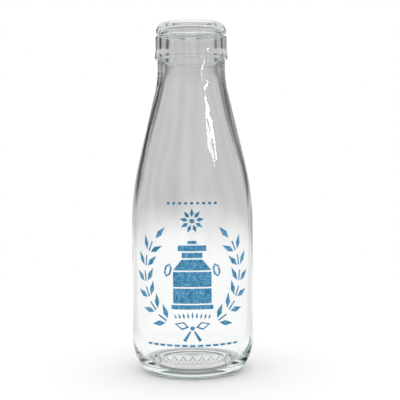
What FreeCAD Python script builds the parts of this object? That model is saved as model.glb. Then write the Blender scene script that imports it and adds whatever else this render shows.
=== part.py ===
import FreeCAD, Part
import Sketcher
import math
import os
from types import SimpleNamespace

# Tall one-pint milk bottle: one moulded glass vessel and a print of fired enamel on its front.
# Millimetres, +Z up, origin on the axis at the standing plane, front of the bottle towards -Y.

VECTOR = FreeCAD.Vector

SIZES = {
    # Body: straight from the heel up to the shoulder arc
    "body_radius": 38.25,
    "shoulder_height": 111.35,
    "shoulder_blend": 21.7,
    # Heel: a slanted stretch between two arcs, then the ring that the bottle stands on
    "heel_height": 12.2,
    "heel_inset": 5.95,
    "heel_lower_blend": 4.3,
    "heel_straight": 0.3,
    "ring_width": 3.0,
    # Shoulder cone and neck
    "shoulder_rise": 71.55,
    "neck_wall": 4.8,
    "neck_blend": 6.5,
    "neck_length": 12.4,
    # Collar under the lip: a bead, a taper and a straight band
    "bead_overhang": 1.7,
    "bead_underside": 0.95,
    "bead_length": 1.3,
    "taper_length": 4.0,
    "band_overhang": 1.15,
    "band_length": 8.3,
    # Groove that a foil cap is pressed into, and the domed lip above it
    "groove_depth": 2.15,
    "groove_width": 0.7,
    "lip_overhang": 0.9,
    "lip_underside": 1.98,
    "lip_band": 1.46,
    "lip_rise": 4.21,
    "lip_lean": 1.95,
    "rim_flat": 0.15,
    "mouth_bevel": 1.0,
    # Hollow inside: floor, valley, straight wall, two-step shoulder, throat and bore
    "wall": 2.65,
    "bore_radius": 16.4,
    "throat_rise": 5.1,
    "base_thickness": 5.6,
    "floor_flat_radius": 11.0,
    "foot_thickness": 7.6,
    "inner_heel_run": 7.6,
    "inner_heel_rise": 8.4,
    # Push-up under the base
    "push_up_height": 3.8,
    "push_up_edge_run": 5.0,
    "push_up_edge_height": 2.6,
    "push_up_flat_radius": 10.0,
    # Enamel film, and the steps of the print from the heel up
    "enamel_thickness": 0.12,
    "enamel_clearance": 0.02,
    "print_spread": 150.0,
    "dash_rise": 0.9,
    "bow_rise": 10.5,
    "wreath_clearance": 11.3,
    "daisy_rise": 0.5,
    "dot_rise": 10.5,
    # Milk churn
    "churn_gap": 0.9,
    "churn_foot_width": 25.0,
    "churn_foot_height": 2.6,
    "churn_width": 23.0,
    "churn_drum_height": 9.0,
    "churn_shoulder_height": 6.5,
    "churn_neck_width": 12.4,
    "churn_neck_height": 3.2,
    "churn_lid_width": 17.0,
    "churn_lid_height": 3.4,
    "churn_knob_width": 5.4,
    "churn_knob_height": 1.8,
    # Handles of the churn
    "handle_length": 8.4,
    "handle_width": 4.4,
    "handle_bar": 1.1,
    "handle_clearance": 1.2,
    "handle_tilt": 14.0,
    # Branches of the wreath
    "leaf_length": 9.4,
    "leaf_width": 3.4,
    "leaf_splay": 38.0,
    "leaf_clearance": 1.0,
    "stem_length": 6.4,
    "stem_width": 1.0,
    "branch_start": 30.0,
    "branch_end": 133.0,
    # Daisy
    "petal_length": 5.2,
    "petal_width": 2.5,
    "petal_clearance": 0.8,
    "daisy_eye_radius": 1.5,
    # Bow
    "knot_width": 2.8,
    "bow_clearance": 0.7,
    "bow_loop_length": 9.0,
    "bow_loop_width": 5.0,
    "bow_loop_angle": 76.0,
    "bow_line": 1.0,
    "bow_tail_length": 7.0,
    "bow_tail_width": 2.0,
    "bow_tail_angle": 148.0,
    # Grass under the churn
    "blade_length": 4.6,
    "blade_width": 1.3,
    "blade_pitch": 2.4,
    "blade_lean": 26.0,
    "grass_clearance": 1.2,
    # Rows of dashes and dots
    "dash_length": 3.4,
    "dash_width": 1.2,
    "dash_pitch": 7.0,
    "dot_radius": 0.9,
    "dot_pitch": 5.5,
}

LEAF_PAIRS = 6
PETALS = 9
BLADES = 9
DASHES = 13
DOTS = 9


class Size:
    """A length or an angle in degrees: its number, and the sheet expression that gives it."""

    def __init__(self, value, text=None):
        self.value = float(value)
        self.text = text or repr(float(value))

    def _with(self, other, sign, result):
        return Size(result, f"({self.text} {sign} {other.text})")

    def __add__(self, other):
        other = as_size(other)
        return self._with(other, "+", self.value + other.value)

    def __sub__(self, other):
        other = as_size(other)
        return self._with(other, "-", self.value - other.value)

    def __mul__(self, other):
        other = as_size(other)
        return self._with(other, "*", self.value * other.value)

    def __truediv__(self, other):
        other = as_size(other)
        return self._with(other, "/", self.value / other.value)

    def __neg__(self):
        return Size(-self.value, f"(-1 * {self.text})")


def as_size(number):
    return number if isinstance(number, Size) else Size(number)


def sine(angle):
    return Size(math.sin(math.radians(angle.value)), f"sin({angle.text} * 1 deg)")


def cosine(angle):
    return Size(math.cos(math.radians(angle.value)), f"cos({angle.text} * 1 deg)")


def hypotenuse(run, rise):
    squares = run * run + rise * rise
    return Size(math.sqrt(squares.value), f"sqrt({squares.text})")


# Document and sheet of driving dimensions
doc = FreeCAD.newDocument("MilkBottle")
sheet = doc.addObject("Spreadsheet::Sheet", "Sizes")
for row, (alias, number) in enumerate(SIZES.items(), start=1):
    sheet.set(f"A{row}", alias)
    sheet.set(f"B{row}", str(number))
    sheet.setAlias(f"B{row}", alias)
doc.recompute()
dim = SimpleNamespace(**{alias: Size(number, f"Sizes.{alias}") for alias, number in SIZES.items()})

ZERO = Size(0.0)
SHARP = None
DEGREES_PER_RADIAN = math.degrees(1.0)
SWEEP_MARGIN = 2.0
STAMP_DEPTH = 8.0

# Radii that follow from the body and the bore
foot_radius = dim.body_radius - dim.heel_inset
heel_upper_blend = hypotenuse(dim.heel_inset, dim.heel_height) - dim.heel_lower_blend - dim.heel_straight
ring_inner_radius = foot_radius - dim.heel_lower_blend - dim.ring_width
neck_radius = dim.bore_radius + dim.neck_wall
bead_radius = neck_radius + dim.bead_overhang
band_radius = neck_radius + dim.band_overhang
groove_radius = band_radius - dim.groove_depth
lip_radius = neck_radius + dim.lip_overhang
crown_radius = lip_radius - dim.lip_lean
crown_blend = crown_radius - dim.bore_radius - dim.mouth_bevel - dim.rim_flat
hollow_radius = dim.body_radius - dim.wall

# Heights that follow from the lengths stacked below them
neck_height = dim.shoulder_height + dim.shoulder_rise
collar_height = neck_height + dim.neck_length
bead_low = collar_height + dim.bead_underside
bead_high = bead_low + dim.bead_length
band_low = bead_high + dim.taper_length
band_high = band_low + dim.band_length
groove_high = band_high + dim.groove_width
lip_low = groove_high + dim.lip_underside
lip_high = lip_low + dim.lip_band
top_height = lip_high + dim.lip_rise
throat_height = neck_height + dim.throat_rise


# Sketch helpers

class Outline:
    """Geometry and dimensions gathered for one sketch, then put into it together."""

    def __init__(self):
        self.shapes = []
        self.guides = []
        self.rules = []

    def add(self, shape, guide=False):
        self.shapes.append(shape)
        self.guides.append(guide)
        return len(self.shapes) - 1

    def rule(self, kind, *places, length=None):
        """A constraint between places in the sketch, with a length that is tied to the sheet."""
        self.rules.append((kind, places, length))

    def fix(self, shape, end, x, y):
        """Dimension a point from the origin, on the side of each axis where it lies."""
        for length, kind, axis in ((x, "DistanceX", -2), (y, "DistanceY", -1)):
            if length.value == 0.0:
                self.rule("PointOnObject", shape, end, axis)
            elif length.value > 0.0:
                self.rule(kind, -1, 1, shape, end, length=length)
            else:
                self.rule(kind, shape, end, -1, 1, length=-length)

    def put(self, sketch):
        sketch.addGeometry(self.shapes, False)
        for index, guide in enumerate(self.guides):
            sketch.setConstruction(index, guide)
        constraints = []
        for kind, places, length in self.rules:
            values = places if length is None else places + (length.value,)
            constraints.append(Sketcher.Constraint(kind, *values))
        sketch.addConstraint(constraints)
        for index, (kind, places, length) in enumerate(self.rules):
            if length is not None:
                sketch.setExpression(f"Constraints[{index}]", length.text)

    def profile(self, corners):
        """Closed outline through corners (x, y, blend). A blend is the tangent length of the corner's arc."""
        places = [VECTOR(x.value, y.value, 0) for x, y, blend in corners]
        afters = places[1:] + places[:1]
        arrive, leave, arcs = [], [], []
        for i, (x, y, blend) in enumerate(corners):
            before, place, after = places[i - 1], places[i], afters[i]
            if blend is SHARP:
                arrive.append(place)
                leave.append(place)
                arcs.append(None)
                continue
            start, end, centre = rounded_corner(before, place, after, blend.value)
            arrive.append(start)
            leave.append(end)
            turns_left = (place - before).cross(after - place).z > 0
            arc = arc_between(start, end, centre) if turns_left else arc_between(end, start, centre)
            arcs.append((arc, turns_left))

        lines = [self.add(Part.LineSegment(leave[i - 1], arrive[i])) for i in range(len(corners))]
        lines_out = lines[1:] + lines[:1]
        for i, (x, y, blend) in enumerate(corners):
            line_in, line_out = lines[i], lines_out[i]
            if blend is SHARP:
                self.rule("Coincident", line_in, 2, line_out, 1)
                self.fix(line_out, 1, x, y)
                continue
            shape, turns_left = arcs[i]
            arc = self.add(shape)
            arc_in, arc_out = (1, 2) if turns_left else (2, 1)
            self.rule("Tangent", line_in, 2, arc, arc_in)
            self.rule("Tangent", arc, arc_out, line_out, 1)
            corner = self.add(Part.Point(places[i]), guide=True)
            self.rule("PointOnObject", corner, 1, line_in)
            self.rule("PointOnObject", corner, 1, line_out)
            self.fix(corner, 1, x, y)
            self.rule("Distance", corner, 1, line_in, 2, length=blend)

    def block(self, width_low, width_high, low, high):
        """Upright block, even about the centre line."""
        half_low, half_high = width_low / 2, width_high / 2
        self.profile([
            (-half_low, low, SHARP),
            (half_low, low, SHARP),
            (half_high, high, SHARP),
            (-half_high, high, SHARP),
        ])

    def leaf(self, root, tip, width):
        """Pointed stencil leaf from root to tip, each given as (x, y), widest a little below its middle."""
        widest_share = 0.42
        run, rise = tip[0] - root[0], tip[1] - root[1]
        side_share = width / hypotenuse(run, rise) / 2
        side_x, side_y = rise * side_share, run * side_share
        middle_x, middle_y = root[0] + run * widest_share, root[1] + rise * widest_share
        self.profile([
            (root[0], root[1], SHARP),
            (middle_x + side_x, middle_y - side_y, SHARP),
            (tip[0], tip[1], SHARP),
            (middle_x - side_x, middle_y + side_y, SHARP),
        ])

    def lozenge(self, width, length):
        """Upright six-sided lozenge about the origin, with a straight side left and right."""
        side_share = 0.5
        half_width, half_length = width / 2, length / 2
        shoulder = half_length * side_share
        self.profile([
            (ZERO, -half_length, SHARP),
            (half_width, -shoulder, SHARP),
            (half_width, shoulder, SHARP),
            (ZERO, half_length, SHARP),
            (-half_width, shoulder, SHARP),
            (-half_width, -shoulder, SHARP),
        ])


def rounded_corner(before, corner, after, blend):
    """Both tangent points and the centre of the arc that rounds a corner with a given tangent length."""
    to_before = (before - corner).normalize()
    to_after = (after - corner).normalize()
    half_angle = to_before.getAngle(to_after) / 2
    to_centre = (to_before + to_after).normalize()
    centre = corner + to_centre * (blend / math.cos(half_angle))
    return corner + to_before * blend, corner + to_after * blend, centre


def arc_between(start, end, centre):
    """Arc that runs counter-clockwise from start to end."""
    angles = [math.atan2(point.y - centre.y, point.x - centre.x) for point in (start, end)]
    circle = Part.Circle(centre, VECTOR(0, 0, 1), (start - centre).Length)
    return Part.ArcOfCircle(circle, *angles)


# Glass vessel

def turn_section(body, kind, name, corners):
    """Turn a half section about the axis: x is the radius, y the height, in the body's own XZ plane."""
    sketch = body.newObject("Sketcher::SketchObject", f"{name}Section")
    plane = [feature for feature in body.Origin.OriginFeatures if feature.Role == "XZ_Plane"][0]
    sketch.AttachmentSupport = [(plane, "")]
    sketch.MapMode = "FlatFace"
    outline = Outline()
    outline.profile(corners)
    outline.put(sketch)
    feature = body.newObject(kind, name)
    feature.Profile = sketch
    feature.ReferenceAxis = (sketch, ["V_Axis"])
    feature.Angle = 360.0
    doc.recompute()
    return feature


def add_outside(body):
    """Foot, heel, body, shoulder and neck."""
    return turn_section(body, "PartDesign::Revolution", "Vessel", [
        (ZERO, ZERO, SHARP),
        (foot_radius, ZERO, dim.heel_lower_blend),
        (dim.body_radius, dim.heel_height, heel_upper_blend),
        (dim.body_radius, dim.shoulder_height, dim.shoulder_blend),
        (neck_radius, neck_height, dim.neck_blend),
        (neck_radius, collar_height, SHARP),
        (ZERO, collar_height, SHARP),
    ])


def add_finish(body):
    """Collar with its bead and band, the cap groove and the domed lip."""
    return turn_section(body, "PartDesign::Revolution", "Finish", [
        (ZERO, collar_height, SHARP),
        (neck_radius, collar_height, SHARP),
        (bead_radius, bead_low, SHARP),
        (bead_radius, bead_high, SHARP),
        (band_radius, band_low, SHARP),
        (band_radius, band_high, SHARP),
        (groove_radius, band_high, SHARP),
        (groove_radius, groove_high, SHARP),
        (lip_radius, lip_low, SHARP),
        (lip_radius, lip_high, SHARP),
        (crown_radius, top_height, crown_blend),
        (ZERO, top_height, SHARP),
    ])


def cut_hollow(body):
    """Blown hollow: a floor that falls to a valley round it, the wall, the shoulder, the throat and the bore."""
    floor_height = dim.push_up_height + dim.base_thickness
    half_blend = dim.shoulder_blend / 2
    cone_run = hollow_radius - dim.bore_radius
    cone_rise = throat_height - dim.shoulder_height
    cone_share = half_blend / hypotenuse(cone_run, cone_rise)
    return turn_section(body, "PartDesign::Groove", "Hollow", [
        (ZERO, floor_height, SHARP),
        (dim.floor_flat_radius, floor_height, SHARP),
        (hollow_radius - dim.inner_heel_run, dim.foot_thickness, SHARP),
        (hollow_radius, dim.foot_thickness + dim.inner_heel_rise, SHARP),
        (hollow_radius, dim.shoulder_height - half_blend, SHARP),
        (hollow_radius - cone_run * cone_share, dim.shoulder_height + cone_rise * cone_share, SHARP),
        (dim.bore_radius, throat_height, SHARP),
        (dim.bore_radius, top_height + SWEEP_MARGIN, SHARP),
        (ZERO, top_height + SWEEP_MARGIN, SHARP),
    ])


def cut_push_up(body):
    """Shallow dome under the base, which leaves the standing ring."""
    below = Size(-SWEEP_MARGIN)
    return turn_section(body, "PartDesign::Groove", "PushUp", [
        (ZERO, below, SHARP),
        (ring_inner_radius, below, SHARP),
        (ring_inner_radius, ZERO, SHARP),
        (ring_inner_radius - dim.push_up_edge_run, dim.push_up_edge_height, SHARP),
        (dim.push_up_flat_radius, dim.push_up_height, SHARP),
        (ZERO, dim.push_up_height, SHARP),
    ])


def bevel_mouth(body, base):
    """Bevel the edge where the bore meets the top of the lip."""
    same = 1e-6
    edges = [
        f"Edge{number}" for number, edge in enumerate(base.Shape.Edges, start=1)
        if isinstance(edge.Curve, Part.Circle)
        and abs(edge.Curve.Radius - dim.bore_radius.value) < same
        and abs(edge.Curve.Center.z - top_height.value) < same
    ]
    bevel = body.newObject("PartDesign::Chamfer", "MouthBevel")
    bevel.Base = (base, edges)
    bevel.setExpression("Size", dim.mouth_bevel.text)
    doc.recompute()
    return bevel


def make_glass_bottle():
    body = doc.addObject("PartDesign::Body", "GlassBottle")
    add_outside(body)
    full = add_finish(body).Shape.Volume
    hollowed = cut_hollow(body).Shape.Volume
    pushed_up = cut_push_up(body)
    if not full > hollowed > pushed_up.Shape.Volume:
        raise RuntimeError("the hollow or the push-up cut nothing")
    glass = bevel_mouth(body, pushed_up).Shape.Volume
    cubic_mm_per_ml = 1000
    print(f"brimful {(full - hollowed) / cubic_mm_per_ml:.0f} ml, glass {glass / cubic_mm_per_ml:.0f} ml")
    return body


# Enamel print: flat outlines carried outwards through a thin film that lies on the front of the glass

def make_film():
    """Film over the whole print: it follows the body line and the shoulder arc, a hair clear of the glass."""
    low = dim.heel_height + heel_upper_blend
    high = dim.shoulder_height + dim.shoulder_rise / 2
    high_radius = (dim.body_radius + neck_radius) / 2
    under = dim.enamel_clearance
    over = under + dim.enamel_thickness
    outline = Outline()
    outline.profile([
        (dim.body_radius + under, low, SHARP),
        (dim.body_radius + over, low, SHARP),
        (dim.body_radius + over, dim.shoulder_height, dim.shoulder_blend),
        (high_radius + over, high, SHARP),
        (high_radius + under, high, SHARP),
        (dim.body_radius + under, dim.shoulder_height, dim.shoulder_blend),
    ])
    sketch = doc.addObject("Sketcher::SketchObject", "FilmSection")
    facing_front = FreeCAD.Rotation(VECTOR(0, 0, 1), -90)
    upright = FreeCAD.Rotation(VECTOR(1, 0, 0), 90)
    sketch.Placement = FreeCAD.Placement(VECTOR(0, 0, 0), facing_front * upright)
    outline.put(sketch)
    front = doc.addObject("Part::Revolution", "Film")
    front.Source = sketch
    front.Axis = VECTOR(0, 0, 1)
    front.Symmetric = True
    front.Solid = True
    front.setExpression("Angle", dim.print_spread.text)
    return front


def stamp(name, outline, height, across=ZERO, tilt=ZERO):
    """Prism of a flat outline, from a little inside the glass out past the film.

    across is the distance round the body from the front centre line, positive to the right,
    and tilt turns the outline anticlockwise about its own origin.
    """
    turn = across / dim.body_radius * DEGREES_PER_RADIAN
    depth = dim.body_radius - STAMP_DEPTH
    base = f"create(<<vector>>; {(depth * sine(turn)).text}; {(-depth * cosine(turn)).text}; {height.text})"
    facing = f"create(<<rotation>>; {turn.text}; {(-tilt).text}; 90)"
    sketch = doc.addObject("Sketcher::SketchObject", f"{name}Outline")
    sketch.setExpression("Placement", f"create(<<placement>>; {base}; {facing})")
    outline.put(sketch)
    prism = doc.addObject("Part::Extrusion", f"{name}Prism")
    prism.Base = sketch
    prism.DirMode = "Normal"
    prism.Solid = True
    prism.setExpression("LengthFwd", (dim.enamel_thickness + STAMP_DEPTH + SWEEP_MARGIN).text)
    return prism


def lay_enamel(name, film, prisms):
    """The part of the film that a motif's prisms cover."""
    group = doc.addObject("Part::Compound", f"{name}Prisms")
    group.Links = prisms
    motif = doc.addObject("Part::Common", name)
    motif.Base = group
    motif.Tool = film
    return motif


# Blocks of the churn from the foot up: width below, width above, height
CHURN_BLOCKS = (
    (dim.churn_foot_width, dim.churn_foot_width, dim.churn_foot_height),
    (dim.churn_width, dim.churn_width, dim.churn_drum_height),
    (dim.churn_width, dim.churn_width, dim.churn_drum_height),
    (dim.churn_width, dim.churn_neck_width, dim.churn_shoulder_height),
    (dim.churn_neck_width, dim.churn_neck_width, dim.churn_neck_height),
    (dim.churn_lid_width, dim.churn_lid_width, dim.churn_lid_height),
    (dim.churn_knob_width, dim.churn_knob_width, dim.churn_knob_height),
)
churn_shoulder_level = dim.churn_foot_height + dim.churn_drum_height * 2 + dim.churn_gap * 3

# Lower edge of each block above the churn's foot, one gap above the block below it
churn_levels = [ZERO]
for width_below, width_above, tall in CHURN_BLOCKS:
    churn_levels.append(churn_levels[-1] + tall + dim.churn_gap)
churn_height = churn_levels.pop() - dim.churn_gap

# Places of the motifs, each above the one below it
wreath_radius = churn_height / 2 + dim.wreath_clearance
dash_height = dim.heel_height + heel_upper_blend + dim.dash_rise
bow_height = dash_height + dim.bow_rise
emblem_height = bow_height + wreath_radius
churn_foot_height = emblem_height - churn_height / 2
daisy_height = emblem_height + wreath_radius + dim.daisy_rise
dot_height = daisy_height + dim.dot_rise


def make_churn(film):
    outline = Outline()
    for low, (width_low, width_high, tall) in zip(churn_levels, CHURN_BLOCKS):
        outline.block(width_low, width_high, low, low + tall)
    return lay_enamel("Churn", film, [stamp("Churn", outline, churn_foot_height)])


def make_handles(film):
    """A ring each side of the churn, level with the foot of its shoulder."""
    reach = dim.churn_width / 2 + dim.handle_clearance + dim.handle_width / 2
    height = churn_foot_height + churn_shoulder_level
    ring = Outline()
    ring.lozenge(dim.handle_width, dim.handle_length)
    ring.lozenge(dim.handle_width - dim.handle_bar * 2, dim.handle_length - dim.handle_bar * 2)
    return lay_enamel("Handles", film, [
        stamp("LeftHandle", ring, height, -reach, -dim.handle_tilt),
        stamp("RightHandle", ring, height, reach, dim.handle_tilt),
    ])


def make_branch(film, side, label):
    """Half of the wreath: pairs of leaves on short stems that climb the wreath's circle from the bow."""
    leaf_root = dim.stem_width / 2 + dim.leaf_clearance
    leaf_run = leaf_root + dim.leaf_length * sine(dim.leaf_splay)
    leaf_rise = dim.leaf_length * cosine(dim.leaf_splay)
    pair = Outline()
    pair.block(dim.stem_width, dim.stem_width, ZERO, dim.stem_length)
    pair.leaf((leaf_root, ZERO), (leaf_run, leaf_rise), dim.leaf_width)
    pair.leaf((-leaf_root, ZERO), (-leaf_run, leaf_rise), dim.leaf_width)
    last = Outline()
    last.leaf((ZERO, ZERO), (ZERO, dim.leaf_length), dim.leaf_width)

    pitch = (dim.branch_end - dim.branch_start) / LEAF_PAIRS
    prisms = []
    for i in range(LEAF_PAIRS + 1):
        climb = dim.branch_start + pitch * i
        across = wreath_radius * sine(climb) * side
        height = emblem_height - wreath_radius * cosine(climb)
        outline = pair if i < LEAF_PAIRS else last
        prisms.append(stamp(f"{label}Leaves{i + 1}", outline, height, across, (climb - 90) * side))
    return lay_enamel(f"{label}Branch", film, prisms)


def make_daisy(film):
    """Petals round an eye, at the open top of the wreath."""
    root = dim.daisy_eye_radius + dim.petal_clearance
    eye = Outline()
    eye.lozenge(dim.daisy_eye_radius * 2, dim.daisy_eye_radius * 2)
    petal = Outline()
    petal.leaf((ZERO, root), (ZERO, root + dim.petal_length), dim.petal_width)
    prisms = [stamp("DaisyEye", eye, daisy_height)]
    for i in range(PETALS):
        prisms.append(stamp(f"Petal{i + 1}", petal, daisy_height, tilt=Size(i * 360 / PETALS)))
    return lay_enamel("Daisy", film, prisms)


def make_bow(film):
    """Knot, two open loops and two tails, where the branches start."""
    opening_share = 1.6
    half = dim.knot_width / 2
    root = half + dim.bow_clearance
    tip = root + dim.bow_loop_length
    opening = dim.bow_line * opening_share
    knot = Outline()
    knot.lozenge(dim.knot_width, dim.knot_width)
    loop = Outline()
    loop.leaf((ZERO, root), (ZERO, tip), dim.bow_loop_width)
    loop.leaf((ZERO, root + opening), (ZERO, tip - opening), dim.bow_loop_width - dim.bow_line * 2)
    tail = Outline()
    tail_tip = root + dim.bow_tail_length
    tail.block(dim.bow_line, dim.bow_tail_width, root, tail_tip)
    return lay_enamel("Bow", film, [
        stamp("BowKnot", knot, bow_height),
        stamp("LeftBowLoop", loop, bow_height, tilt=dim.bow_loop_angle),
        stamp("RightBowLoop", loop, bow_height, tilt=-dim.bow_loop_angle),
        stamp("LeftBowTail", tail, bow_height, tilt=dim.bow_tail_angle),
        stamp("RightBowTail", tail, bow_height, tilt=-dim.bow_tail_angle),
    ])


def make_grass(film):
    """A fan of blades under the churn, shorter and more bent towards its ends."""
    end_share = 0.7
    height = churn_foot_height - dim.grass_clearance - dim.blade_length
    prisms = []
    for i in range(BLADES):
        offset = i - (BLADES - 1) / 2
        from_middle = offset / ((BLADES - 1) / 2)
        blade = Outline()
        length = dim.blade_length * (1 - (1 - end_share) * abs(from_middle))
        blade.leaf((ZERO, ZERO), (ZERO, length), dim.blade_width)
        lean = dim.blade_lean * -from_middle
        prisms.append(stamp(f"Blade{i + 1}", blade, height, dim.blade_pitch * offset, lean))
    return lay_enamel("Grass", film, prisms)


def make_row(film, label, outline, count, pitch, height):
    """Equal marks round the front of the body, a fixed angle apart."""
    step = pitch / DEGREES_PER_RADIAN * dim.body_radius
    prisms = []
    for i in range(count):
        across = step * (i - (count - 1) / 2)
        prisms.append(stamp(f"{label}{i + 1}", outline, height, across))
    return lay_enamel(f"{label}Row", film, prisms)


def make_dash_row(film):
    half = dim.dash_width / 2
    dash = Outline()
    dash.block(dim.dash_length, dim.dash_length, -half, half)
    return make_row(film, "Dash", dash, DASHES, dim.dash_pitch, dash_height)


def make_dot_row(film):
    dot = Outline()
    dot.lozenge(dim.dot_radius * 2, dim.dot_radius * 2)
    return make_row(film, "Dot", dot, DOTS, dim.dot_pitch, dot_height)


glass = make_glass_bottle()
front_film = make_film()
nodes = {
    "glass_bottle": glass,
    "enamel_churn": make_churn(front_film),
    "enamel_handles": make_handles(front_film),
    "enamel_left_branch": make_branch(front_film, -1, "Left"),
    "enamel_right_branch": make_branch(front_film, 1, "Right"),
    "enamel_daisy": make_daisy(front_film),
    "enamel_bow": make_bow(front_film),
    "enamel_grass": make_grass(front_film),
    "enamel_dash_row": make_dash_row(front_film),
    "enamel_dot_row": make_dot_row(front_film),
}
for name, node in nodes.items():
    node.Label = name
doc.recompute()

# Every object has to be sound before anything is written
for item in doc.Objects:
    if "Invalid" in item.State or "Error" in item.State:
        raise RuntimeError(f"{item.Name} failed: {item.State}")
for name, node in nodes.items():
    if node.Shape.isNull() or not node.Shape.isValid() or not node.Shape.Solids:
        raise RuntimeError(f"{name} has no sound solid")

os.makedirs("parts", exist_ok=True)
for name, node in nodes.items():
    node.Shape.exportStep(f"parts/{name}.step")
    print(f"{name}: {len(node.Shape.Solids)} solids, {node.Shape.Volume:.2f} mm3")
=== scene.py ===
import math

import bpy
import numpy as np
from mathutils import Matrix, Vector


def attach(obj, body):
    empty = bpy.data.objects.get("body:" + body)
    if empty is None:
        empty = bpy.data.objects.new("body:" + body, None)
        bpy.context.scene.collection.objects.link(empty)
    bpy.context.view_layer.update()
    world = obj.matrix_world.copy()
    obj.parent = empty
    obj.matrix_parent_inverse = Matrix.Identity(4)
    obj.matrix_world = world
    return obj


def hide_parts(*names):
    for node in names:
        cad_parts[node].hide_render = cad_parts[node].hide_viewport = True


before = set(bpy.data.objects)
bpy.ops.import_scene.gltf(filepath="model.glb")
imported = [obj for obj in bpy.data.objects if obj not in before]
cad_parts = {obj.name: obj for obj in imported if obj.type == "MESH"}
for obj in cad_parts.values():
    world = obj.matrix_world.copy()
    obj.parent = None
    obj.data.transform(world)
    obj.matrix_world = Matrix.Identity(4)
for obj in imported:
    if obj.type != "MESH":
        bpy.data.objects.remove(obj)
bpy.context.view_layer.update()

# Looks of a glass milk bottle: a turned glass wall, a fired enamel print, and a pale studio round it.
# Outlines and sizes in capitals are in millimetres. The scene, and every pattern in a shader, is in metres.
# The printed front faces -Y.

MM = 0.001
scene = bpy.context.scene
scene.view_settings.view_transform = "Standard"


# Shader maths

class Field:
    """A shader socket that can be used in sums, so that a pattern reads as a formula."""

    def __init__(self, tree, socket):
        self.tree = tree
        self.socket = socket

    def node(self, kind, output, settings=None, inputs=None):
        """An output of a new node in the same tree.

        Its settings are made first. Its inputs, by name or number, are then linked to fields or set.
        """
        made = self.tree.nodes.new(kind)
        for name, value in (settings or {}).items():
            setattr(made, name, value)
        for key, value in (inputs or {}).items():
            plug(made.inputs[key], value)
        return Field(self.tree, made.outputs[output])

    def maths(self, operation, *terms):
        return self.node("ShaderNodeMath", "Value", {"operation": operation}, dict(enumerate(terms)))

    def __add__(self, other):
        return self.maths("ADD", self, other)

    def __radd__(self, other):
        return self.maths("ADD", other, self)

    def __sub__(self, other):
        return self.maths("SUBTRACT", self, other)

    def __rsub__(self, other):
        return self.maths("SUBTRACT", other, self)

    def __mul__(self, other):
        return self.maths("MULTIPLY", self, other)

    def __rmul__(self, other):
        return self.maths("MULTIPLY", other, self)

    def __truediv__(self, other):
        return self.maths("DIVIDE", self, other)

    def __rtruediv__(self, other):
        return self.maths("DIVIDE", other, self)

    def absolute(self):
        return self.maths("ABSOLUTE", self)

    def ramp(self, low, high):
        """Smooth step from 0 at low to 1 at high."""
        return self.node("ShaderNodeMapRange", "Result", {"interpolation_type": "SMOOTHSTEP"},
                         {"Value": self, "From Min": low, "From Max": high})

    def band(self, rising, falling):
        """1 between two ranges, with a smooth step up over the first and down over the second."""
        return self.ramp(*rising) * (1.0 - self.ramp(*falling))

    def blend(self, first, second):
        """Colour that runs from first where this field is 0 to second where it is 1.

        The node has sockets of every data type. Its colours are inputs 6 and 7 and output 2.
        """
        return self.node("ShaderNodeMix", 2, {"data_type": "RGBA"}, {0: self, 6: first, 7: second})

    def axis(self, letter):
        return self.node("ShaderNodeSeparateXYZ", letter, inputs={"Vector": self})


def plug(socket, value):
    """Link a field to a socket, or set a constant on it."""
    if isinstance(value, Field):
        value.tree.links.new(value.socket, socket)
    elif socket.type == "RGBA":
        socket.default_value = (*value, 1.0)
    else:
        socket.default_value = value


def light_path(place):
    """Facts about the ray that is being shaded, as fields by name, in the tree of a given field."""
    facts = place.node("ShaderNodeLightPath", "Is Camera Ray").socket.node.outputs
    return {fact.name: Field(place.tree, fact) for fact in facts}


def new_material(name):
    """A material with its Principled node, and the object's own coordinates as a field."""
    material = bpy.data.materials.new(name)
    material.use_nodes = True
    surface = material.node_tree.nodes["Principled BSDF"]
    place = Field(material.node_tree, surface.outputs["BSDF"]).node("ShaderNodeTexCoord", "Object")
    return material, surface, place


def grey(level):
    return (level, level, level)


WHITE = grey(1.0)


# Turned surfaces

def rounded_path(corners, turn_step=0.14, longest=2.5, fewest=3):
    """Points along a path of straight stretches joined by arcs.

    Each corner is (radius, height, tangent length). An arc leaves its corner's two sides at that
    length from the corner, and its radius is the length over the tangent of half the turn. Steps are
    no longer than longest, and an arc has at least the fewest steps, each of at most turn_step radians.
    """
    places = np.array([corner[:2] for corner in corners], float)
    tangents = [corner[2] for corner in corners]
    points = [places[0]]

    def straight_to(end):
        start = points[-1]
        steps = max(1, math.ceil(np.linalg.norm(end - start) / longest))
        points.extend(start + (end - start) * np.linspace(0, 1, steps + 1)[1:, None])

    for before, corner, after, tangent in zip(places, places[1:], places[2:], tangents[1:]):
        into = (corner - before) / np.linalg.norm(corner - before)
        out = (after - corner) / np.linalg.norm(after - corner)
        turn = math.atan2(into[0] * out[1] - into[1] * out[0], into @ out)
        straight_to(corner - into * tangent)
        start = points[-1]
        arc_radius = tangent / math.tan(abs(turn) / 2)
        centre = start + np.array([-into[1], into[0]]) * arc_radius * np.sign(turn)
        spoke = start - centre
        quarter_on = np.array([-spoke[1], spoke[0]])
        steps = max(fewest, math.ceil(abs(turn) / turn_step), math.ceil(abs(turn) * arc_radius / longest))
        angles = np.linspace(0, turn, steps + 1)[1:, None]
        points.extend(centre + (spoke * np.cos(angles) + quarter_on * np.sin(angles)))
    straight_to(places[-1])
    return np.array(points)


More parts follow.
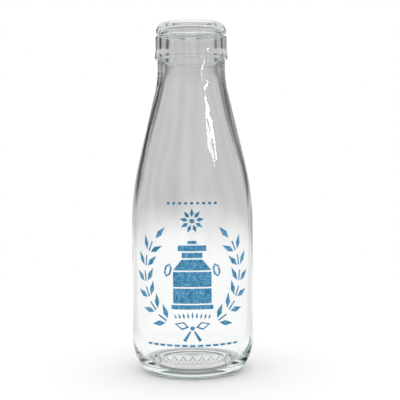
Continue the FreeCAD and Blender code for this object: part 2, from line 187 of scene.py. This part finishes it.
def turned_mesh(name, angles, radius, height):
    """Closed skin turned about Z. Radius and height are (station, angle) arrays in millimetres.

    A point is the radius times the cosine and the sine of its angle, at its height. The first and last
    stations lie on the axis, and each becomes one pole.
    """
    stations, turns = radius.shape
    rings = stations - 2
    skin = np.stack([radius * np.cos(angles), radius * np.sin(angles), height], axis=-1)
    poles = np.array([[0.0, 0.0, height[0, 0]], [0.0, 0.0, height[-1, 0]]])
    points = np.concatenate([skin[1:-1].reshape(-1, 3), poles]) * MM
    ring = np.arange(turns)
    following = (ring + 1) % turns
    here = np.arange(rings - 1)[:, None] * turns
    onward = here + turns
    quads = np.stack([here + ring, here + following, onward + following, onward + ring], axis=-1)
    first_pole = np.full(turns, rings * turns)
    last_pole = first_pole + 1
    last_ring = (rings - 1) * turns
    first_fan = np.stack([first_pole, following, ring], axis=-1)
    last_fan = np.stack([last_pole, last_ring + ring, last_ring + following], axis=-1)
    faces = quads.reshape(-1, 4).tolist() + first_fan.tolist() + last_fan.tolist()
    mesh = bpy.data.meshes.new(name)
    mesh.from_pydata(points.tolist(), [], faces)
    mesh.polygons.foreach_set("use_smooth", np.ones(len(mesh.polygons), bool))
    mesh.update()
    piece = bpy.data.objects.new(name, mesh)
    scene.collection.objects.link(piece)
    return piece


# Section of the glass from the middle of the push-up, up the outside, over the lip and down the inside.
# Each corner is (radius, height, tangent length of its arc).

BODY_RADIUS = 38.25
HOLLOW_RADIUS = 35.6
BORE_RADIUS = 16.4
NECK_RADIUS = 21.2
SHOULDER_LEVEL = 111.35
TOP = 218.2

OUTSIDE = [
    (0.0, 3.8, 0.0),
    (10.0, 3.8, 5.0),
    (20.0, 2.6, 2.6),
    (25.0, 0.0, 0.6),
    (32.3, 0.0, 4.3),
    (BODY_RADIUS, 12.2, 8.9),
    (BODY_RADIUS, SHOULDER_LEVEL, 21.7),
    (NECK_RADIUS, 182.9, 6.5),
    (NECK_RADIUS, 195.3, 0.5),
    (22.9, 196.25, 0.4),
    (22.9, 197.55, 0.4),
    (22.35, 201.55, 0.8),
    (22.35, 209.85, 0.4),
    (20.2, 209.85, 0.2),
    (20.2, 210.55, 0.2),
    (22.55, 213.0, 1.6),
    (20.15, TOP, 2.6),
    (BORE_RADIUS, TOP, 1.0),
]
INSIDE = [
    (BORE_RADIUS, 188.0, 14.0),
    (HOLLOW_RADIUS, SHOULDER_LEVEL, 21.7),
    (HOLLOW_RADIUS, 14.0, 6.0),
    (30.5, 5.8, 1.5),
    (27.5, 8.0, 1.0),
    (0.0, 8.6, 0.0),
]

# Slow waves in the glass: (strength, waves round the bottle, height per radian, phase in radians).
SLOW_WAVES = [(1.0, 2, 31.0, 0.0), (0.7, 3, -17.0, 1.3), (0.5, 5, 9.0, 0.4)]


def rise(values, low, high):
    """0 below low, 1 above high and a straight line between."""
    return np.clip((values - low) / (high - low), 0, 1)


def make_glass():
    """Wall of the bottle: its turned section, with the faint unevenness of moulded and blown glass.

    The outside sinks by a few hundredths of a millimetre in slow waves and ripples as little on the
    shoulder, the inside wanders by one or two tenths, and two mould seams stand up at the sides. Sizes
    here are in millimetres too, apart from the width of a seam, which is in radians.
    """
    turns = 288
    inner_wave, outer_sink, outer_wave = 0.08, 0.022, 0.01
    broad_ripple, broad_length, broad_bend, bends_round = 0.016, 1.9, 2.0, 3
    fine_ripple, fine_length, fine_round = 0.0096, 1.1, 9
    seam_height, seam_width = 0.07, 0.012
    inside_fade, heel_fade = (14.0, 44.0), (16.0, 26.0)
    shoulder_start, shoulder_end = (114.0, 126.0), (182.0, 192.0)
    section = rounded_path(OUTSIDE + INSIDE)
    angles = np.linspace(0, 2 * math.pi, turns, endpoint=False)
    level = section[:, 1:]
    radius = section[:, :1] + np.zeros(turns)
    height = level + np.zeros(turns)
    inside = np.where(np.arange(len(section)) > np.argmax(section[:, 1]), 1.0, 0.0)[:, None]
    outside = 1.0 - inside
    slow = sum(strength * np.sin(waves * angles + height / length + phase)
               for strength, waves, length, phase in SLOW_WAVES)
    ripples = (broad_ripple * np.sin(height / broad_length + broad_bend * np.sin(bends_round * angles))
               + fine_ripple * np.sin(height / fine_length + fine_round * angles))
    seams = seam_height * np.exp(-(np.sin(angles) / seam_width) ** 2)
    on_shoulder = rise(level, *shoulder_start) * (1.0 - rise(level, *shoulder_end))
    radius += inside * rise(level, *inside_fade) * inner_wave * slow
    radius += outside * rise(level, *heel_fade) * (seams - outer_sink - outer_wave * slow)
    radius += outside * on_shoulder * ripples
    return turned_mesh("glass_wall", angles, radius, height)


def heel_marks(place):
    """Height of a row of shallow raised lozenges moulded round the front of the heel.

    A lozenge is 1 less the distance along the row over its half length, less the distance up over its
    half height, cut off below 0. The distance along goes to and fro between one centre and the next.
    """
    middle, half_height, half_length, pitch = 0.0126, 0.0032, 0.0024, 0.0056
    half_row, row_fade, bevel = 0.0265, 0.0004, 0.3
    inner_limit, outer_limit = 0.0359, 0.0361
    x, y, z = (place.axis(letter) for letter in "XYZ")
    along = place.maths("ARCTAN2", x, 0.0 - y) * BODY_RADIUS * MM
    to_centre = place.maths("PINGPONG", along, pitch / 2)
    lozenge = (1.0 - to_centre / half_length - (z - middle).absolute() / half_height).ramp(0.0, bevel)
    on_row = 1.0 - along.absolute().ramp(half_row, half_row + row_fade)
    on_outside = place.maths("SQRT", x * x + y * y).ramp(inner_limit, outer_limit)
    return lozenge * on_row * on_outside


def glass_material():
    """Clear glass that is faintly green where light goes a long way through it."""
    material, surface, place = new_material("clear_glass")
    raised = place.node("ShaderNodeBump", "Normal",
                        inputs={"Strength": 1.0, "Distance": 0.0006, "Height": heel_marks(place)})
    plug(surface.inputs["Normal"], raised)
    plug(surface.inputs["Base Color"], WHITE)
    surface.inputs["Roughness"].default_value = 0.0
    surface.inputs["IOR"].default_value = 1.51
    surface.inputs["Transmission Weight"].default_value = 1.0
    tint = place.node("ShaderNodeVolumeAbsorption", "Volume",
                      inputs={"Color": (0.35, 0.75, 0.62), "Density": 4.0})
    plug(material.node_tree.nodes["Material Output"].inputs["Volume"], tint)
    return material


def enamel_material():
    """Fired blue enamel: uneven cover, pale specks where it is thin, and deeper towards the shoulder."""
    full_blue, thin_blue = (0.008, 0.165, 0.335), (0.07, 0.28, 0.47)
    speck_blue, deep_blue = (0.36, 0.56, 0.68), (0.012, 0.125, 0.215)
    speck_share, deep_share = 0.75, 0.75
    least_roughness, more_roughness = 0.34, 0.2
    material, surface, place = new_material("blue_enamel")
    surface.inputs["Specular IOR Level"].default_value = 0.25
    cover = place.node("ShaderNodeTexNoise", "Fac",
                       inputs={"Vector": place, "Scale": 420.0, "Detail": 3.0, "Roughness": 0.6})
    specks = place.node("ShaderNodeTexNoise", "Fac", inputs={"Vector": place, "Scale": 1300.0, "Detail": 1.0})
    blue = cover.ramp(0.36, 0.64).blend(full_blue, thin_blue)
    worn = specks.ramp(0.58, 0.68) * speck_share
    deep = place.axis("Z").ramp(0.085, 0.11) * deep_share
    blue = deep.blend(worn.blend(blue, speck_blue), deep_blue)
    plug(surface.inputs["Base Color"], blue)
    plug(surface.inputs["Roughness"], cover * more_roughness + least_roughness)
    return material


glass = make_glass()
glass.data.materials.append(glass_material())
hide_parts("glass_bottle")
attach(glass, "root")

blue_enamel = enamel_material()
for name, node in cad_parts.items():
    if name.startswith("enamel"):
        node.data.materials.clear()
        node.data.materials.append(blue_enamel)


# Studio. The camera's angles are in degrees, and its focal length is a share of the picture's width.

CAMERA_OFFSET = 4.94
CAMERA_DISTANCE = 558.8
CAMERA_HEIGHT = 132.3
CAMERA_PITCH = 2.56
CAMERA_ROLL = -0.398
CAMERA_NEAREST = 10.0
FOCAL_SHARE = 882 / 400
SENSOR = 36.0
FLOOR_REACH = 700.0
FLOOR_LEVEL = -0.1
LIGHT_BOUNCES = 24

# Outline of a card, as (along, height), whose reflections on and in the shoulder are the forked highlight.
BENT_STRIP = [
    (-95, 722),
    (-75, 680),
    (0, 640),
    (110, 605),
    (125, 552),
    (175, 545),
    (190, 615),
    (100, 665),
    (0, 697),
    (-50, 728),
]


def make_camera():
    camera = bpy.data.objects.new("camera", bpy.data.cameras.new("camera"))
    scene.collection.objects.link(camera)
    camera.data.sensor_width = SENSOR
    camera.data.lens = SENSOR * FOCAL_SHARE
    camera.data.clip_start = CAMERA_NEAREST * MM
    from_straight_down = 90 - CAMERA_PITCH
    pitch = Matrix.Rotation(math.radians(from_straight_down), 4, "X")
    roll = Matrix.Rotation(math.radians(CAMERA_ROLL), 4, "Z")
    stand = Vector((CAMERA_OFFSET, -CAMERA_DISTANCE, CAMERA_HEIGHT)) * MM
    camera.matrix_world = Matrix.Translation(stand) @ pitch @ roll
    scene.camera = camera


def floor_tone(place, away, rays):
    """Tone of the floor as it shows in and through the glass.

    It is white and greyer at both sides of the bottle. It carries a painted shadow under the front of the
    base, and a painted dark blue contact shadow on the ring that the glass stands on, above all at the front.
    A painted dark green streak to the right, which puts a dark streak into the right of the heel, shows only
    to rays that crossed no more than two surfaces of the glass, such as those that stayed within its wall.
    """
    side_grey, base_shadow_grey = grey(0.78), grey(0.55)
    ring_shadow_blue, heel_streak_shade = (0.004, 0.012, 0.07), (0.06, 0.18, 0.14)
    ring_inner_edge, ring_outer_edge, ring_loss_behind = (0.0200, 0.0220), (0.0300, 0.0320), 0.65
    streak_near_edge, streak_far_edge, streak_lean = (0.034, 0.042), (0.050, 0.056), 0.65
    streak_front_end, streak_back_end = (-0.02, 0.0), (0.07, 0.09)
    across, depth = place.axis("X"), place.axis("Y")

    at_sides = away.ramp(0.08, 0.16) * (across.absolute() / away).ramp(0.45, 0.52)
    # Painted shade: a dark green streak on the floor, seen only through the glass, that puts a dark streak
    # into the right of the heel.
    within_wall = 1.0 - rays["Transmission Depth"].ramp(2.5, 3.5)
    painted_streak = (across - depth * streak_lean).band(streak_near_edge, streak_far_edge)
    painted_streak = painted_streak * depth.band(streak_front_end, streak_back_end) * within_wall
    open_floor = painted_streak.blend(at_sides.blend(WHITE, side_grey), heel_streak_shade)

    # Painted shadows seen through the glass: grey under the front of the base, and a dark blue contact shadow
    # on the ring that the glass stands on, weaker behind.
    under_base = 1.0 - away.ramp(0.0285, 0.0315)
    enclosed_shadow = depth.ramp(-0.020, 0.002).blend(base_shadow_grey, WHITE)
    at_front = 1.0 - depth.ramp(-0.02, -0.01) * ring_loss_behind
    ring = away.band(ring_inner_edge, ring_outer_edge) * at_front
    return ring.blend(under_base.blend(open_floor, enclosed_shadow), ring_shadow_blue)


def make_floor():
    """Pale floor, a hair's breadth under the foot ring, that fades out into the white round it."""
    mesh = bpy.data.meshes.new("floor")
    corners = np.array([(-1, -1, 0), (1, -1, 0), (1, 1, 0), (-1, 1, 0)]) * FLOOR_REACH + (0, 0, FLOOR_LEVEL)
    mesh.from_pydata((corners * MM).tolist(), [], [(0, 1, 2, 3)])
    floor = bpy.data.objects.new("floor", mesh)
    scene.collection.objects.link(floor)
    material, surface, place = new_material("pale_floor")
    plug(surface.inputs["Base Color"], grey(0.99))
    surface.inputs["Roughness"].default_value = 1.0
    surface.inputs["Specular IOR Level"].default_value = 0.0
    plain = Field(place.tree, surface.outputs["BSDF"])
    rays = light_path(place)
    away = place.node("ShaderNodeVectorMath", "Value", {"operation": "LENGTH"}, {"Vector": place})
    by_glass = rays["Is Transmission Ray"] + rays["Is Glossy Ray"]
    tone = by_glass.blend(WHITE, floor_tone(place, away, rays))
    glow = place.node("ShaderNodeEmission", "Emission", inputs={"Color": tone})
    plain_share = (1.0 - by_glass) * (1.0 - away.ramp(0.16, 0.5))
    mixed = place.node("ShaderNodeMixShader", "Shader", inputs={"Fac": 1.0 - plain_share, 1: plain, 2: glow})
    plug(material.node_tree.nodes["Material Output"].inputs["Surface"], mixed)
    mesh.materials.append(material)


def make_world():
    """White to the camera, and an even light on the floor and the print.

    In and through the glass it is a studio: a white ground, greyer at the sides, and above the horizon a
    faintly uneven grey wall with a darker stretch high up behind the bottle and a dark flag at each side.
    Rays that were reflected within the glass, more so if twice, see a darker wall behind: painted shade that
    darkens the edges of the glass. Places in the studio are parts of a direction of length 1.
    """
    dark_wall, light_wall, streaky = (0.505, 0.505, 0.495), (0.595, 0.595, 0.585), (22.0, 22.0, 3.0)
    upper_wall, upper_start, upper_end = grey(0.26), (0.21, 0.25), (0.30, 0.36)
    edge_shade, edge_start, edge_end = grey(0.33), (0.05, 0.10), (0.24, 0.30)
    left_flag, right_flag = grey(0.0), grey(0.10)
    flag_bottom, flag_top = (-0.01, 0.06), (0.25, 0.35)
    flag_near_side, flag_far_side = (0.30, 0.42), (0.60, 0.65)
    side_ground, light_level = grey(0.74), grey(1.1)
    world = bpy.data.worlds.new("studio")
    scene.world = world
    world.use_nodes = True
    tree = world.node_tree
    background = tree.nodes["Background"]
    direction = Field(tree, background.outputs["Background"]).node("ShaderNodeTexCoord", "Generated")
    rays = light_path(direction)
    x, y, z = (direction.axis(letter) for letter in "XYZ")
    aside = x.absolute()
    behind = y.ramp(0.2, 0.5)

    stretched = direction.node("ShaderNodeMapping", "Vector", inputs={"Vector": direction, "Scale": streaky})
    uneven = direction.node("ShaderNodeTexNoise", "Fac",
                            inputs={"Vector": stretched, "Scale": 1.0, "Detail": 0.0})
    wall = uneven.ramp(0.25, 0.75).blend(dark_wall, light_wall)
    high_up = behind * z.band(upper_start, upper_end)
    wall = high_up.blend(wall, upper_wall)
    # Painted shade: a darker wall that only rays reflected inside the glass see, so the edges of the glass
    # render darker.
    reflected_within = rays["Glossy Depth"].ramp(0.5, 1.5) * rays["Transmission Depth"].ramp(0.5, 1.5)
    edge_shade_share = reflected_within * behind * z.band(edge_start, edge_end)
    wall = edge_shade_share.blend(wall, edge_shade)

    ground = aside.ramp(0.45, 0.52).blend(WHITE, side_ground)
    above_horizon = z.ramp(-0.11, -0.03)
    flag = z.band(flag_bottom, flag_top) * aside.band(flag_near_side, flag_far_side)
    flag_tone = x.ramp(-0.1, 0.1).blend(left_flag, right_flag)
    studio = flag.blend(above_horizon.blend(ground, wall), flag_tone)
    lighting = rays["Diffuse Depth"].ramp(0.0, 1.0)
    colour = rays["Is Camera Ray"].blend(lighting.blend(studio, light_level), WHITE)
    plug(background.inputs["Color"], colour)


def make_card(name, outline, bearing, distance, strength):
    """Glowing upright card that shows only as a reflection on the bottle or a glow through it.

    It stands at a distance from the axis, on a bearing in degrees from the front towards +X, and its
    outline is (along, height) points in millimetres.
    """
    mesh = bpy.data.meshes.new(name)
    turn = math.radians(bearing)
    along, up = np.array(outline).T
    corners = np.stack([distance * math.sin(turn) + along * math.cos(turn),
                        along * math.sin(turn) - distance * math.cos(turn), up], axis=-1) * MM
    mesh.from_pydata(corners.tolist(), [], [tuple(range(len(corners)))])
    card = bpy.data.objects.new(name, mesh)
    scene.collection.objects.link(card)
    material, _, place = new_material(name)
    glow = place.node("ShaderNodeEmission", "Emission", inputs={"Strength": strength})
    plug(material.node_tree.nodes["Material Output"].inputs["Surface"], glow)
    mesh.materials.append(material)
    card.visible_camera = False
    card.visible_diffuse = False


make_camera()
make_floor()
make_world()
make_card("front_strip", BENT_STRIP, bearing=48.0, distance=1000.0, strength=18.0)
scene.cycles.max_bounces = LIGHT_BOUNCES
scene.cycles.transmission_bounces = LIGHT_BOUNCES
scene.cycles.glossy_bounces = LIGHT_BOUNCES
